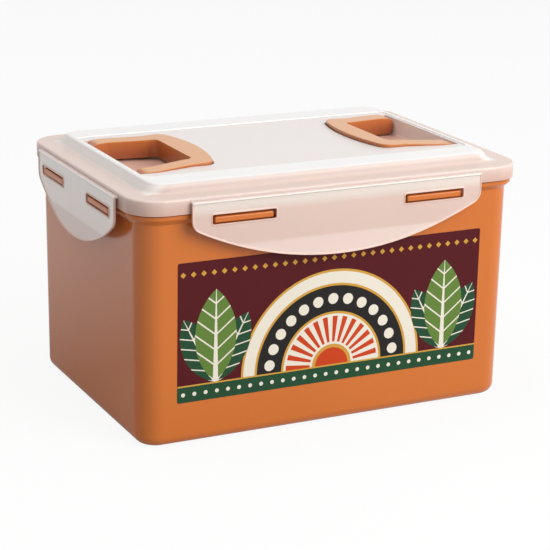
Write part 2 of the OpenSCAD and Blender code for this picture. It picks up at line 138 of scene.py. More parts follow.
# %% Sky, floor and lamps
SKY_LIGHT = 0.42
FLOOR_SIZE = 30
FLOOR_WHITE = 0.9
FLOOR_MIRRORED = (0.2, 1.0)
MIRROR_REACH = (0.1, 0.5)
SHADED_SPOT = (-0.25, 0, 0)
FLOOR_BOUNCE = 0.5
FLOOR_PAINT = 0.95
LAMPS = {  # place, size and power
    "front_lamp": ((0.85, -1.6, 1.0), 1.8, 35),
    "top_lamp": ((-0.4, 0.3, 2.0), 1.5, 9.5),
}


def seen_directly(tree, gloss_share=1.0):
    """One where the camera looks, a share of it in the gloss, and zero for rays that only carry light."""
    path = tree.nodes.new("ShaderNodeLightPath").outputs
    gloss = math_node(tree, "MULTIPLY", path["Is Glossy Ray"], gloss_share)
    seen = math_node(tree, "MAXIMUM", path["Is Camera Ray"], gloss)
    return math_node(tree, "MAXIMUM", seen, path["Is Transmission Ray"])


def make_sky():
    world = bpy.data.worlds.new("studio_sky")
    world.use_nodes = True
    tree = world.node_tree
    sky = tree.nodes["Background"]
    sky.inputs["Color"].default_value = (1, 1, 1, 1)
    strength = level_between(tree, seen_directly(tree), SKY_LIGHT, 1.0)
    tree.links.new(strength, sky.inputs["Strength"])
    scene.world = world


def floor_mirror(tree):
    """How bright the floor looks in the gloss: dim beside the crock's shaded end, whiter away from it."""
    away = tree.nodes.new("ShaderNodeVectorMath")
    away.operation = "DISTANCE"
    away.inputs[1].default_value = SHADED_SPOT
    tree.links.new(tree.nodes.new("ShaderNodeTexCoord").outputs["Object"], away.inputs[0])
    return level_between(tree, away.outputs["Value"], *FLOOR_MIRRORED, MIRROR_REACH)


def floor_white():
    """Paint that takes the shadow, mixed with a glow that keeps the floor white to the camera."""
    material = bpy.data.materials.new("floor_white")
    material.use_nodes = True
    tree = material.node_tree
    tree.nodes.remove(tree.nodes["Principled BSDF"])
    seen = seen_directly(tree, floor_mirror(tree))
    paint = tree.nodes.new("ShaderNodeBsdfDiffuse")
    tree.links.new(level_between(tree, seen, FLOOR_BOUNCE, FLOOR_PAINT), paint.inputs["Color"])
    glow = tree.nodes.new("ShaderNodeEmission")
    mixed = tree.nodes.new("ShaderNodeMixShader")
    tree.links.new(level_between(tree, seen, 0.0, FLOOR_WHITE), mixed.inputs["Fac"])
    tree.links.new(paint.outputs[0], mixed.inputs[1])
    tree.links.new(glow.outputs[0], mixed.inputs[2])
    tree.links.new(mixed.outputs[0], tree.nodes["Material Output"].inputs["Surface"])
    return material


def make_floor():
    bm = bmesh.new()
    bmesh.ops.create_grid(bm, x_segments=1, y_segments=1, size=FLOOR_SIZE / 2)
    mesh = bpy.data.meshes.new("floor")
    bm.to_mesh(mesh)
    bm.free()
    mesh.materials.append(floor_white())
    floor = bpy.data.objects.new("floor", mesh)
    scene.collection.objects.link(floor)


def make_lamp(name, place, size, power):
    data = bpy.data.lights.new(name, "AREA")
    data.shape = "DISK"
    data.size = size
    data.energy = power
    lamp = bpy.data.objects.new(name, data)
    lamp.location = place
    lamp.rotation_euler = (AIM - lamp.location).to_track_quat("-Z", "Y").to_euler()
    scene.collection.objects.link(lamp)


make_sky()
make_floor()
for lamp_name, lamp_values in LAMPS.items():
    make_lamp(lamp_name, *lamp_values)
scene.view_settings.view_transform = "Standard"
print("studio:", ", ".join(LAMPS))

# %% [markdown]
# Moulded plastic is never one flat colour. The melt cools a little unevenly, so the tone drifts over a
# hand's width, and the steel mould leaves a fine satin grain that softens the gloss. A picture of plastic
# could be wrapped round each piece, but noise needs no map and stays sharp close up. Every plastic here
# shares that finish, so it is one node group with a colour, a drift and a grain size to set for each
# material.

# %% Moulded finish
CLOUD_SCALE = 11
CLOUD_DETAIL = 3
GRAIN_DETAIL = 2
GLOSS_DRIFT = 0.06


def noise(tree, place, scale, detail):
    node = tree.nodes.new("ShaderNodeTexNoise")
    node.inputs["Detail"].default_value = detail
    tree.links.new(place, node.inputs["Vector"])
    if isinstance(scale, (int, float)):
        node.inputs["Scale"].default_value = scale
    else:
        tree.links.new(scale, node.inputs["Scale"])
    return node.outputs["Fac"]


def make_mould_finish():
    group = bpy.data.node_groups.new("mould_finish", "ShaderNodeTree")
    group.interface.new_socket("Color", in_out="INPUT", socket_type="NodeSocketColor")
    for name in ("Drift", "Grain Scale", "Roughness"):
        group.interface.new_socket(name, in_out="INPUT", socket_type="NodeSocketFloat")
    group.interface.new_socket("Color", in_out="OUTPUT", socket_type="NodeSocketColor")
    for name in ("Roughness", "Height"):
        group.interface.new_socket(name, in_out="OUTPUT", socket_type="NodeSocketFloat")
    given = group.nodes.new("NodeGroupInput").outputs
    result = group.nodes.new("NodeGroupOutput").inputs
    place = group.nodes.new("ShaderNodeTexCoord").outputs["Object"]
    cloud = math_node(group, "SUBTRACT", noise(group, place, CLOUD_SCALE, CLOUD_DETAIL), 0.5)
    tone = group.nodes.new("ShaderNodeHueSaturation")
    group.links.new(given["Color"], tone.inputs["Color"])
    lift = math_node(group, "MULTIPLY", cloud, given["Drift"])
    group.links.new(math_node(group, "ADD", lift, 1), tone.inputs["Value"])
    group.links.new(tone.outputs[0], result["Color"])
    patchy = math_node(group, "MULTIPLY", cloud, GLOSS_DRIFT)
    group.links.new(math_node(group, "ADD", given["Roughness"], patchy), result["Roughness"])
    group.links.new(noise(group, place, given["Grain Scale"], GRAIN_DETAIL), result["Height"])
    return group


MOULD_FINISH = make_mould_finish()
print("node group", MOULD_FINISH.name, "with", len(MOULD_FINISH.nodes), "nodes")

# %% [markdown]
# The tub is opaque and satin, the plate inside is a duller brown, and the seals are soft silicone. Each
# could be set up by hand, but they differ only in a few numbers. So one function builds every plastic from
# the same finish, and what stays the same all over a piece goes straight to the shader's own sockets.

# %% Plastic materials
RELIEF_DEPTH = 0.0003


def tint(red, green, blue):
    """A colour as picked on a screen, from 0 to 255, made linear for the shader by the sRGB formula."""
    shares = [value / 255 for value in (red, green, blue)]
    return [s / 12.92 if s <= 0.04045 else ((s + 0.055) / 1.055) ** 2.4 for s in shares] + [1]


def plastic(name, colour, drift=0.12, grain=900, bump=0.1, roughness=0.34, **constants):
    """A moulded material; its colour is one tint, or a function that paints the colour with nodes."""
    material = bpy.data.materials.new(name)
    material.use_nodes = True
    tree = material.node_tree
    shader = tree.nodes["Principled BSDF"]
    finish = tree.nodes.new("ShaderNodeGroup")
    finish.node_tree = MOULD_FINISH
    if callable(colour):
        tree.links.new(colour(tree), finish.inputs["Color"])
    else:
        finish.inputs["Color"].default_value = colour
    finish.inputs["Drift"].default_value = drift
    finish.inputs["Grain Scale"].default_value = grain
    finish.inputs["Roughness"].default_value = roughness
    relief = tree.nodes.new("ShaderNodeBump")
    relief.inputs["Strength"].default_value = bump
    relief.inputs["Distance"].default_value = RELIEF_DEPTH
    tree.links.new(finish.outputs["Height"], relief.inputs["Height"])
    tree.links.new(finish.outputs["Color"], shader.inputs["Base Color"])
    tree.links.new(finish.outputs["Roughness"], shader.inputs["Roughness"])
    tree.links.new(relief.outputs[0], shader.inputs["Normal"])
    for socket, value in constants.items():
        shader.inputs[socket.replace("_", " ")].default_value = value
    print("material", name)
    return material


TERRACOTTA = plastic(
    "terracotta_plastic", tint(206, 111, 38), drift=0.07, bump=0.04, roughness=0.2, IOR=1.46
)
SILICONE = plastic("silicone", tint(236, 232, 224), drift=0.05, grain=400, roughness=0.55, IOR=1.41)
PLATE_PLASTIC = plastic("plate_plastic", tint(186, 98, 54), roughness=0.38, IOR=1.5)

# %% [markdown]
# Milky plastic takes its tone from what lies behind it. It could be rendered as truly see-through, but
# light that has to find its way through several thin walls is slow and leaves noise. So the tones are
# painted, with two helpers: a ramp of colours over the height of a point, and one colour laid over another
# through a mask. Both read a point's own place on its piece, so the tones stay put when a piece moves.

# %% Tones by height and mask
def split_place(tree, place):
    apart = tree.nodes.new("ShaderNodeSeparateXYZ")
    tree.links.new(place, apart.inputs[0])
    return apart.outputs


def object_place(tree):
    return split_place(tree, tree.nodes.new("ShaderNodeTexCoord").outputs["Object"])


def height_ramp(tree, height, heights, tones):
    """Colours by the height of a point; each tone has its share of the way between two levels."""
    ramp = tree.nodes.new("ShaderNodeValToRGB")
    stops = ramp.color_ramp.elements
    while len(stops) < len(tones):
        stops.new(1)
    for stop, (position, colour) in zip(stops, tones):
        stop.position = position
        stop.color = colour
    tree.links.new(level_between(tree, height, 0, 1, heights), ramp.inputs["Fac"])
    return ramp.outputs["Color"]


def blend(tree, mask, under, over):
    """One colour laid over another through a mask; colours are tints or sockets."""
    mix = tree.nodes.new("ShaderNodeMix")
    mix.data_type = "RGBA"
    tree.links.new(mask, mix.inputs["Factor"])
    colours = [socket for socket in mix.inputs if socket.type == "RGBA"]
    for socket, colour in zip(colours, (under, over)):
        if isinstance(colour, list):
            socket.default_value = colour
        else:
            tree.links.new(colour, socket)
    return next(socket for socket in mix.outputs if socket.type == "RGBA")


print("tone helpers: a ramp by height and a mask")

# %% [markdown]
# Where the lid hangs over the brown rim it is painted pink, and over the hollow of the tub nearly white:
# a painted stand-in for light seen through the plastic. The deep floors of the pockets are painted mauve,
# and the sunk panel a little greyer and the raised wall over the rim darker, as painted shade. A flap
# changes its painted tone at the crease of its belly: the long flaps are painted a little lighter below it,
# the flaps at the ends darker below it and paler above it, and a band along the hinge carries a painted
# highlight. Their raised borders are painted a little warmer and paler, a painted highlight where the thick
# edge catches the light, so they have a plastic of their own. So has the film that they hang on, whose tone
# is the painted shade of its narrow groove. The tan handles are painted paler on the broad top, a painted
# sheen where it catches the light, and darker down their skirts, a painted shade. They lie with a slight
# tilt, so their ramp takes the height above that tilted plane.

# %% Milky and tan plastics
HOLLOW_X = 0.1565
HOLLOW_Y = 0.1015
RIM_BLEND = 0.004
LID_HEIGHTS = (0.193, 0.213)
FLAP_HEIGHTS = (0.149, 0.203)
# Over the rim: painted see-through pink, strongest low on the lip, and painted shade on the raised wall at
# the top.
RIM_LIGHT_AND_SHADE = [
    (0.0, tint(214, 174, 158)), (0.3, tint(218, 188, 175)), (0.6, tint(231, 207, 196)),
    (0.75, tint(209, 187, 177)),
]
# Over the hollow: painted shade on the mauve pocket floors and on the greyer sunk panel, near-white
# elsewhere.
HOLLOW_LIGHT_AND_SHADE = [
    (0.19, tint(230, 186, 168)), (0.27, tint(248, 236, 230)), (0.9, tint(248, 236, 230)),
    (0.94, tint(231, 218, 215)), (0.99, tint(249, 245, 242)),
]
# Long flaps: painted lighter below the crease, and a painted highlight on the band by the hinge.
FLAP_LIGHT_AND_SHADE = [
    (0.0, tint(222, 196, 185)), (0.28, tint(222, 196, 185)), (0.32, tint(218, 188, 175)),
    (0.76, tint(220, 190, 177)), (0.88, tint(231, 214, 203)),
]
END_FLAP_X = 0.15
# End flaps: painted shade below the crease and painted paler above it.
END_FLAP_LIGHT_AND_SHADE = [
    (0.0, tint(212, 184, 172)), (0.28, tint(212, 184, 172)), (0.32, tint(236, 214, 204)),
    (0.88, tint(242, 226, 218)),
]
HANDLE_HEIGHTS = (0.199, 0.213)
# Painted shade low on the skirts, and a painted sheen on the broad top where it catches the light.
HANDLE_LIGHT_AND_SHADE = [
    (0.2, tint(160, 84, 42)), (0.923, tint(192, 107, 50)), (0.981, tint(219, 152, 90)),
]
HANDLE_TILT = math.radians(2)


# Paints see-through light and shade on the lid: the rim ramp beyond the hollow's edge, the hollow ramp
# within it.
def lid_light_and_shade(tree):
    place = object_place(tree)
    past_x = math_node(tree, "SUBTRACT", math_node(tree, "ABSOLUTE", place["X"]), HOLLOW_X)
    past_y = math_node(tree, "SUBTRACT", math_node(tree, "ABSOLUTE", place["Y"]), HOLLOW_Y)
    past = math_node(tree, "MAXIMUM", past_x, past_y)
    over_rim = level_between(tree, past, 0, 1, (0, RIM_BLEND))
    hollow = height_ramp(tree, place["Z"], LID_HEIGHTS, HOLLOW_LIGHT_AND_SHADE)
    rim = height_ramp(tree, place["Z"], LID_HEIGHTS, RIM_LIGHT_AND_SHADE)
    return blend(tree, over_rim, hollow, rim)


# Paints light and shade on a flap by its height; the flaps at the ends take their own ramp.
def flap_light_and_shade(tree):
    place = object_place(tree)
    at_end = math_node(tree, "GREATER_THAN", math_node(tree, "ABSOLUTE", place["X"]), END_FLAP_X)
    long_flap = height_ramp(tree, place["Z"], FLAP_HEIGHTS, FLAP_LIGHT_AND_SHADE)
    end_flap = height_ramp(tree, place["Z"], FLAP_HEIGHTS, END_FLAP_LIGHT_AND_SHADE)
    return blend(tree, at_end, long_flap, end_flap)


# Paints light and shade on the tan plastic by height above the handles' tilted plane.
def handle_light_and_shade(tree):
    place = object_place(tree)
    inward = math_node(tree, "SUBTRACT", PIVOT_X * MM, math_node(tree, "ABSOLUTE", place["X"]))
    rise = math_node(tree, "MULTIPLY", inward, math.tan(HANDLE_TILT))
    return height_ramp(tree, math_node(tree, "SUBTRACT", place["Z"], rise), HANDLE_HEIGHTS, HANDLE_LIGHT_AND_SHADE)


MILKY = {
    "bump": 0.03, "IOR": 1.49,
    "Subsurface_Weight": 0.35, "Subsurface_Radius": (1, 0.75, 0.65), "Subsurface_Scale": 0.004,
}
GLAZE = {"Coat_Weight": 1.0, "Coat_Roughness": 0.2}
RUBBED = {"Coat_Weight": 0.25, "Coat_Roughness": 0.25}
MILKY_LID = plastic("milky_lid_plastic", lid_light_and_shade, drift=0.04, roughness=0.3, **MILKY)
MILKY_FLAP = plastic("milky_flap_plastic", flap_light_and_shade, drift=0.05, roughness=0.3, **MILKY, **GLAZE)
# The flaps' raised borders: a paler, warmer tint as a painted highlight where the thick edge catches light.
MILKY_EDGE_HIGHLIGHT = plastic("milky_edge_highlight", tint(226, 192, 177), drift=0.05, roughness=0.3, **MILKY)
# The hinge film: its tint is the painted shade of the narrow groove between lid and flap.
MILKY_FILM_SHADE = plastic("milky_film_shade", tint(232, 206, 196), drift=0.05, roughness=0.34, **MILKY)
TAN = plastic("tan_plastic", handle_light_and_shade, drift=0.06, roughness=0.34, **RUBBED)

# %% [markdown]
# Nearly every wall of the crock runs round a rectangle with rounded corners. Its points could be worked
# out one by one, but a plane whose four corners are bevelled gives the same loop. A wall is then a row of
# loops at rising heights, bridged one to the next, the way a boat builder planks over frames. A closed run
# of loops gives a ring, and a cap closes an end. Lugs and strips are blocks with rounded edges.

# %% Walls and blocks
CORNER_STEPS = 10


def rounded_loop(bm, half_x, half_y, radius, z):
    """The edges of a rectangle with round corners at one height."""
    before = set(bm.faces)
    place = Matrix.Translation((0, 0, z)) @ Matrix.Diagonal((half_x, half_y, 1, 1))
    made = bmesh.ops.create_grid(bm, x_segments=1, y_segments=1, size=1, matrix=place)
    bmesh.ops.bevel(
        bm, geom=made["verts"], offset=radius, offset_type="ABSOLUTE", segments=CORNER_STEPS,
        profile=0.5, affect="VERTICES", material=-1,
    )
    face = next(f for f in bm.faces if f not in before)
    edges = list(face.edges)
    bmesh.ops.delete(bm, geom=[face], context="FACES_ONLY")
    return edges


def loft(bm, stations, ring=False):
    """Walls bridged between loops; each station is a loop's half sizes, corner radius and height."""
    loops = [rounded_loop(bm, *station) for station in stations]
    for low, high in zip(loops, loops[1:]):
        bmesh.ops.bridge_loops(bm, edges=low + high)
    if ring:
        bmesh.ops.bridge_loops(bm, edges=loops[-1] + loops[0])
    return loops


def cap(bm, loop):
    bmesh.ops.contextual_create(bm, geom=loop)


def bar(bm, low, high, edge, steps=2):
    """A block between two corners with rounded edges."""
    low, high = Vector(low), Vector(high)
    size = high - low
    place = Matrix.Translation((low + high) / 2) @ Matrix.Diagonal((*size, 1))
    made = bmesh.ops.create_cube(bm, size=1, matrix=place)
    edges = {e for v in made["verts"] for e in v.link_edges}
    rounded = bmesh.ops.bevel(
        bm, geom=list(edges), offset=edge, segments=steps, profile=0.5, affect="EDGES", material=-1,
    )
    return list({v for v in made["verts"] + rounded["verts"] if v.is_valid})


print("a corner of a loop has", CORNER_STEPS, "steps")

# %% [markdown]
# A piece is drawn where that is easiest, flat or at the front, and then turned into its place. To finish
# it, the points that its shells share are merged, the mesh is scaled to metres, and a Bevel modifier gives
# it the soft edges of a moulding. They could be bevelled in the mesh itself, but the modifier takes every
# sharp edge at once and one number sets its width. Then the piece is hung on the body it rides on, and the
# frame's node that it stands for is hidden.

# %% Turning, cutting and finishing a piece
MERGE = 0.002
CUT = 0.001
SOFT_STEPS = 2
SOFT_ANGLE = math.radians(35)


def turned(degrees, axis):
    return Matrix.Rotation(math.radians(degrees), 4, axis)


def cut_across(bm, y, clear=False):
    """Cuts the mesh along a line across it and, if asked, clears what lies beyond."""
    whole = bm.verts[:] + bm.edges[:] + bm.faces[:]
    bmesh.ops.bisect_plane(
        bm, geom=whole, dist=CUT, plane_co=(0, y, 0), plane_no=(0, 1, 0), clear_outer=clear
    )


def face_up(bm):
    """Turns a flat sheet over if it looks down."""
    if bm.faces[:][0].normal.z < 0:
        bmesh.ops.reverse_faces(bm, faces=bm.faces)


def add_rod(bm, radius, length, steps, place):
    """A closed round rod round the Z axis, moved to its place."""
    bmesh.ops.create_cone(
        bm, cap_ends=True, segments=steps, radius1=radius, radius2=radius, depth=length, matrix=place
    )


def make_piece(name, bm, body, node, material, edge):
    """Turns a mesh in millimetres into a piece in metres that stands for a node and rides on a body."""
    bmesh.ops.remove_doubles(bm, verts=bm.verts, dist=MERGE)
    bmesh.ops.recalc_face_normals(bm, faces=bm.faces)
    bmesh.ops.scale(bm, vec=(MM, MM, MM), verts=bm.verts)
    for face in bm.faces:
        face.smooth = True
    mesh = bpy.data.meshes.new(name)
    bm.to_mesh(mesh)
    bm.free()
    mesh.materials.append(material)
    piece = bpy.data.objects.new(name, mesh)
    scene.collection.objects.link(piece)
    if edge:
        soft = piece.modifiers.new("soft_edges", "BEVEL")
        soft.width = edge * MM
        soft.segments = SOFT_STEPS
        soft.limit_method = "ANGLE"
        soft.angle_limit = SOFT_ANGLE
    shade = piece.modifiers.new("even_shading", "WEIGHTED_NORMAL")
    shade.keep_sharp = True
    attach(piece, body)
    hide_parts(node)
    print(f"{name}: {len(mesh.polygons)} faces on {body}")
    return piece


print("soft edges start at", round(math.degrees(SOFT_ANGLE)), "degrees")

# %% [markdown]
# The tub is a deep tray with slightly leaning walls, a rounded foot, a shallow recess under the base so
# that it stands on a border, and a rim: a flange just below the lid and, above it, the thin edge that the
# gasket presses on. One box could be cut out of another, but a loft gives clean rows of faces: up the
# outside, over the rim and down the inside, with both floors capped. The border is dished by a hair,
# because between two loops in one plane the bridge could run the wrong way round.

# %% Container
DRAFT = 1.5
FOOT_R = 9
FLOOR = 3
FOOT_BORDER = 16
RECESS = 1
BORDER_DISH = 0.05
SEAL_EDGE = 8
FLANGE_TOP = RIM_Z - SEAL_EDGE
FLANGE_REACH = 4.6
FLANGE_FACE = 3
FOOT_STEPS = 8
LUG_DROP = 2.4
LUG_TOP = FLANGE_TOP - LUG_DROP
LUG_HEIGHT = 5
LUG_ROUND = 1.2
LUG_STEPS = 3
LUG_ROOT = 3.6
LONG_LUGS = (85.5, 50.6)  # distance from the middle and length
SHORT_LUGS = (52, 45.6)
TUB_EDGE = 0.4


def tub_station(inset, z):
    return RIM_X - inset, RIM_Y - inset, CORNER_R - inset, z


def tub_stations():
    inner = DRAFT + WALL
    inner_r = FOOT_R - WALL
    under = FLANGE_TOP - FLANGE_FACE - FLANGE_REACH
    turns = [math.radians(90 * step / FOOT_STEPS) for step in range(FOOT_STEPS + 1)]
    border = (RIM_X - DRAFT - FOOT_BORDER, RIM_Y - DRAFT - FOOT_BORDER, CORNER_R)
    base = [(*border, RECESS), (*border, BORDER_DISH)]
    foot = [tub_station(DRAFT + FOOT_R * (1 - math.sin(a)), FOOT_R * (1 - math.cos(a))) for a in turns]
    flange = [
        tub_station(DRAFT * (1 - under / RIM_Z), under),
        tub_station(-FLANGE_REACH, FLANGE_TOP - FLANGE_FACE),
        tub_station(-FLANGE_REACH, FLANGE_TOP),
        tub_station(0, FLANGE_TOP),
    ]
    rim = [tub_station(0, RIM_Z), tub_station(WALL, RIM_Z)]
    inside = [
        tub_station(inner + inner_r * (1 - math.cos(a)), FLOOR + inner_r * (1 - math.sin(a))) for a in turns
    ]
    return base + foot + flange + rim + inside


def add_lugs(bm, root, reach, spread, length, quarter_turns):
    """Two locking lugs on one side of the rim, drawn at the front and turned to their side."""
    turn = turned(90 * quarter_turns, "Z")
    for side in (-1, 1):
        low = (side * spread - length / 2, -reach, LUG_TOP - LUG_HEIGHT)
        high = (side * spread + length / 2, -root, LUG_TOP)
        bmesh.ops.transform(bm, matrix=turn, verts=bar(bm, low, high, LUG_ROUND, LUG_STEPS))


def make_container():
    bm = bmesh.new()
    loops = loft(bm, tub_stations())
    cap(bm, loops[0])
    cap(bm, loops[-1])
    for opposite in (0, 2):
        add_lugs(bm, RIM_Y + LUG_ROOT, LUG_REACH_Y, *LONG_LUGS, opposite)
        add_lugs(bm, RIM_X + LUG_ROOT, LUG_REACH_X, *SHORT_LUGS, opposite + 1)
    make_piece("tub", bm, "container", "container_body", TERRACOTTA, TUB_EDGE)


make_container()

# %% [markdown]
# Flaps, handle pockets and handles share one outline: straight along the hinge, straight down the sides,
# then a bowed far edge with rounded corners. A curve object could draw it, but here the arcs have to stay
# true when a size changes. So a point is spun round each corner and round the far centre of the bow, and
# the arcs meet smoothly. The outline lies flat, with the hinge on the X axis.

# %% Bowed outline
BOW_STEPS = 28
BOW_CORNER_STEPS = 8


def spin_point(bm, point, centre, angle, steps):
    made = bmesh.ops.spin(
        bm, geom=[point], cent=(*centre, point.co.z), axis=(0, 0, 1), dvec=(0, 0, 0), angle=angle,
        steps=steps, use_merge=False, use_normal_flip=False, use_duplicate=False,
    )
    return made["geom_last"][0]


def bowed_outline(bm, half, depth, bow, radius, back, z=0.0):
    """A closed outline whose bowed far edge lies at a depth; back lists the points of the near side."""
    before = set(bm.edges)
    bow_r = (half ** 2 + bow ** 2) / (2 * bow)
    bow_y = bow_r - depth
    round_x = half - radius
    round_y = bow_y - math.sqrt((bow_r - radius) ** 2 - round_x ** 2)
    turn = math.atan2(round_y - bow_y, round_x)
    start = bm.verts.new((half, round_y, z))
    corner = spin_point(bm, start, (round_x, round_y), turn, BOW_CORNER_STEPS)
    far = spin_point(bm, corner, (0, bow_y), -math.pi - 2 * turn, BOW_STEPS)
    last = spin_point(bm, far, (-round_x, round_y), turn, BOW_CORNER_STEPS)
    path = [last] + [bm.verts.new((x, y, z)) for x, y in back] + [start]
    for first, second in zip(path, path[1:]):
        bm.edges.new((first, second))
    return [edge for edge in bm.edges if edge not in before]


def mirrored(points):
    return [(-x, y) for x, y in points]


print("bowed outline:", BOW_STEPS + 2 * BOW_CORNER_STEPS, "steps along the far edge")

# %% [markdown]
# The lid is one thin moulding. From outside in, its profile is a lip that hangs over the rim, a flat
# ledge, a raised top with a leaning wall, and a shallow panel sunk into it. Where the profile turns, it is
# eased by a small curve. A bevel could round all those bends alike, but each of them has a reach of its
# own.

# %% Lid profile
LID_X = 175
LID_Y = 125
LID_R = 26.5
LID_WALL = 2.2
LIP_DROP = 7
LIP_LOW = RIM_Z - LIP_DROP
LIP_ROUND = 2
TOP_RISE = 7.5
LEDGE_Z = TOP_Z - TOP_RISE
TOP_FOOT = (158, 108, 21)  # half sizes and corner radius
TOP_LEAN = 5.5
FOOT_EASE = 2.2
CREST_EASE = 2.4
PANEL_EDGE = (148.9, 76.5, 8)
PANEL_DEPTH = 0.8


def lid_station(inset, z):
    return LID_X - inset, LID_Y - inset, LID_R - inset, z


def top_station(inset, z):
    half_x, half_y, radius = TOP_FOOT
    return half_x - inset, half_y - inset, radius - inset, z


def eased(start, corner, end, steps=5):
    """Points of a soft bend from one straight run into another."""
    shares = [step / steps for step in range(steps + 1)]
    return [start.lerp(corner, t).lerp(corner.lerp(end, t), t) for t in shares]


def lid_stations():
    foot = Vector((0, LEDGE_Z))
    crest = Vector((TOP_LEAN, TOP_Z))
    climb = (crest - foot).normalized()
    inward = Vector((1, 0))
    lip_edge = eased(
        Vector((0, LEDGE_Z - LIP_ROUND)), Vector((0, LEDGE_Z)), Vector((LIP_ROUND, LEDGE_Z))
    )
    at_foot = eased(foot - inward * FOOT_EASE, foot, foot + climb * FOOT_EASE)
    at_crest = eased(crest - climb * CREST_EASE, crest, crest + inward * CREST_EASE)
    half_x, half_y, radius = PANEL_EDGE
    lean = PANEL_DEPTH / 2
    panel = [(*PANEL_EDGE, TOP_Z), (half_x - lean, half_y - lean, radius - lean, TOP_Z - PANEL_DEPTH)]
    return (
        [lid_station(0, LIP_LOW)]
        + [lid_station(*point) for point in lip_edge]
        + [top_station(*point) for point in at_foot + at_crest]
        + panel
    )


print(f"lid ledge at {LEDGE_Z:.1f}, {len(lid_stations())} loops from lip to panel")

# %% [markdown]
# Two deep pockets in the panel take the handles, so each has a handle's outline with a gap all round it.
# They could be cut out with a Boolean modifier, which leaves slivers that no bevel likes. Instead the panel
# is filled round the pocket outlines, the outlines are pushed down and their floors rounded, and solidify
# then gives the whole sheet its wall.

# %% Handle pockets and lid sheet
HANDLE_LENGTH = 75
ARM_HALF = 63
BAR_HALF = 55
HANDLE_BOW = 9
HANDLE_R = 10
KNEE_TO_BAR = HANDLE_BOW + 2 * HANDLE_R
POCKET_GAP = 1
KNUCKLE_GAP = 1.2
POCKET_DEPTH = 16.2
POCKET_ROUND = 2.4
POCKET_STEPS = 3
POCKET_FLOOR = TOP_Z - POCKET_DEPTH
PANEL_Z = TOP_Z - PANEL_DEPTH


def add_pocket(bm, half_turns):
    """Outline of one handle's pocket, with a gap all round it, turned to its end of the lid."""
    arm_half = ARM_HALF + POCKET_GAP
    bar_half = BAR_HALF + POCKET_GAP
    length = KNUCKLE_GAP + HANDLE_LENGTH + POCKET_GAP
    right = [(arm_half, 0), (arm_half, -2 * KNUCKLE_R), (bar_half, KNEE_TO_BAR - length)]
    near = mirrored(reversed(right)) + right
    edges = bowed_outline(bm, bar_half, length, HANDLE_BOW, HANDLE_R + POCKET_GAP, near, PANEL_Z)
    end = Matrix.Translation((HANDLE_END + KNUCKLE_GAP, 0, 0))
    place = turned(180 * half_turns, "Z") @ end @ turned(-90, "Z")
    bmesh.ops.transform(bm, matrix=place, verts=list({v for e in edges for v in e.verts}))
    return edges


def sink_pocket(bm, edges):
    """Pushes a pocket's outline down, closes its floor and rounds the floor's edge."""
    made = bmesh.ops.extrude_edge_only(bm, edges=edges)["geom"]
    low = [item for item in made if isinstance(item, bmesh.types.BMVert)]
    bmesh.ops.translate(bm, vec=(0, 0, POCKET_FLOOR - PANEL_Z), verts=low)
    ring = [e for e in made if isinstance(e, bmesh.types.BMEdge) and all(v in low for v in e.verts)]
    cap(bm, ring)
    bmesh.ops.bevel(
        bm, geom=ring, offset=POCKET_ROUND, segments=POCKET_STEPS, profile=0.5, affect="EDGES",
        material=-1,
    )


def lid_sheet(bm):
    """The lid's whole outer skin with its two pockets, given its wall."""
    panel = loft(bm, lid_stations())[-1]
    pockets = [add_pocket(bm, half_turns) for half_turns in (0, 1)]
    bmesh.ops.triangle_fill(bm, edges=panel + pockets[0] + pockets[1], use_beauty=True, normal=(0, 0, 1))
    for edges in pockets:
        sink_pocket(bm, edges)
    bmesh.ops.recalc_face_normals(bm, faces=bm.faces)
    bmesh.ops.solidify(bm, geom=bm.faces[:], thickness=LID_WALL)


print(f"handle pockets {PANEL_Z - POCKET_FLOOR:.1f} deep")

# %% [markdown]
# Under the ledge a second wall plugs into the tub and keeps the gasket in its channel. Outside the lip,
# four thin strips carry the flaps. Small bosses under the top hold the handles' pivot pins. They could be
# joined to the sheet face by face, but closed solids that reach a little into it look the same and keep
# the mesh clean.

# %% Lid walls, hinge strips and bosses
PLUG_GAP = 0.6
PLUG_WALL = 1.8
HINGE_DROP = 3.9
HINGE_Z = LEDGE_Z - HINGE_DROP
HINGE_OUT = 3
STRIP_LOW = 0.6
STRIP_HIGH = 1.2
FILM_PROUD = 0.3
FILM_HIGH = 2.6
FILM_MATERIAL = 1
LONG_FLAP = 260
SHORT_FLAP = 176
BOSS_R = 4.66
BOSS_STEPS = 24
BOSS_LENGTH = 3.6
BOSS_Y = 65.7
LID_EDGE = 0.4


def add_plug_wall(bm):
    outer = WALL + PLUG_GAP
    inner = outer + PLUG_WALL
    top = LEDGE_Z - LID_WALL / 2
    corners = [(outer, top), (outer, PLUG_LOW_Z), (inner, PLUG_LOW_Z), (inner, top)]
    loft(bm, [tub_station(*corner) for corner in corners], ring=True)


def add_hinge_strip(bm, half, length, quarter_turns):
    """The film that a flap hangs on, and the thin welt that joins it to the lip above."""
    turn = turned(90 * quarter_turns, "Z")
    for out, low, high in ((HINGE_OUT - STRIP_LOW, -STRIP_LOW, STRIP_HIGH), (FILM_PROUD, 0, FILM_HIGH)):
        near = (-length / 2, -half - out, HINGE_Z + low)
        far = (length / 2, -half + STRIP_LOW, HINGE_Z + high)
        strip = bar(bm, near, far, FILM_PROUD)
        # The strips take the film's tint, the painted shade of the hinge groove.
        for face in {face for vert in strip for face in vert.link_faces}:
            face.material_index = FILM_MATERIAL
        bmesh.ops.transform(bm, matrix=turn, verts=strip)


def add_boss(bm, side_x, side_y):
    place = Matrix.Translation((side_x * PIVOT_X, side_y * (BOSS_Y + BOSS_LENGTH / 2), PIVOT_Z))
    add_rod(bm, BOSS_R, BOSS_LENGTH, BOSS_STEPS, place @ turned(90, "X"))


